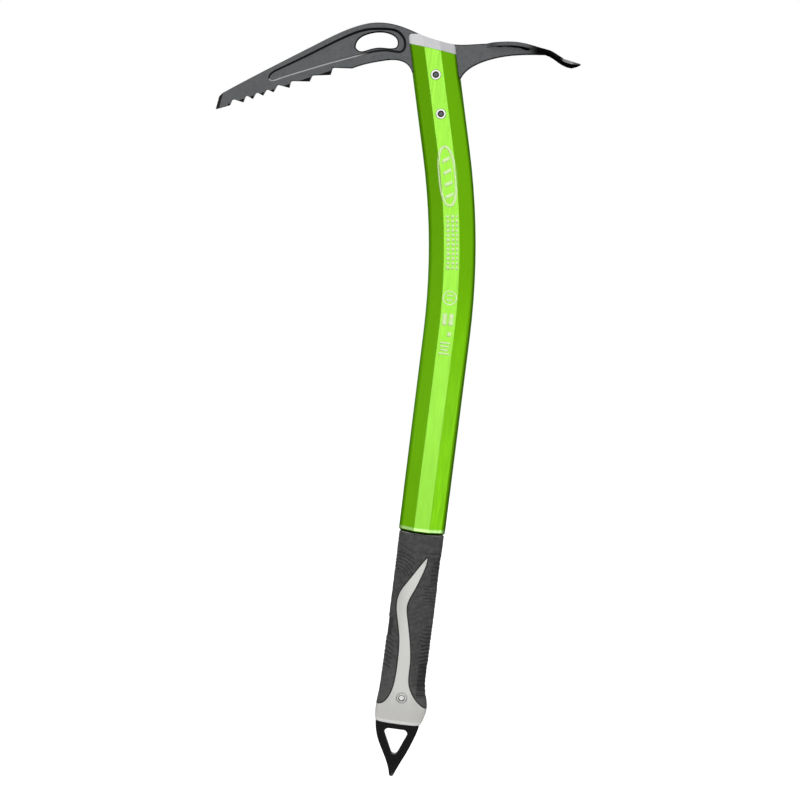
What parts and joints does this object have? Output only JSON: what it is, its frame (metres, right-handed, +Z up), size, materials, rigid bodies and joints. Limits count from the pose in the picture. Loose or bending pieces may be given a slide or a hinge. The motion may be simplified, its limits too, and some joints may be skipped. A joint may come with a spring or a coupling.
{
  "type": "ice axe",
  "caption": "Mountaineering ice axe with a toothed pick, a curved adze, a bent tubular shaft, a rubber grip and a spike with an eye.",
  "frame": {"origin": "point of the spike", "axes": "+Z up the straight lower shaft, pick towards -X, adze towards +X, plane of symmetry at Y = 0"},
  "size_m": [0.2385, 0.048, 0.5058],
  "materials": {
    "head_steel": "dark forged steel, phosphate finish, ground edges",
    "cheek_aluminium": "satin aluminium",
    "shaft_anodised": "bright green anodised aluminium",
    "rivet_steel": "plated steel",
    "stem_steel": "plain steel, broken off rough",
    "core_plastic": "silver satin moulded plastic",
    "grip_rubber": "black textured rubber",
    "spike_steel": "blackened steel"
  },
  "bodies": {
    "root": {"head": "head_steel", "head_cheek_front": "cheek_aluminium", "head_cheek_back": "cheek_aluminium", "shaft_tube": "shaft_anodised", "head_rivet_upper": "rivet_steel", "head_rivet_lower": "rivet_steel", "head_rivet_stem_upper": "stem_steel", "head_rivet_stem_lower": "stem_steel", "grip_core": "core_plastic", "grip_rubber": "grip_rubber", "spike": "spike_steel", "spike_cheek_front": "cheek_aluminium", "spike_cheek_back": "cheek_aluminium", "spike_rivet": "rivet_steel", "spike_rivet_stem": "stem_steel"}
  },
  "joints": []
}
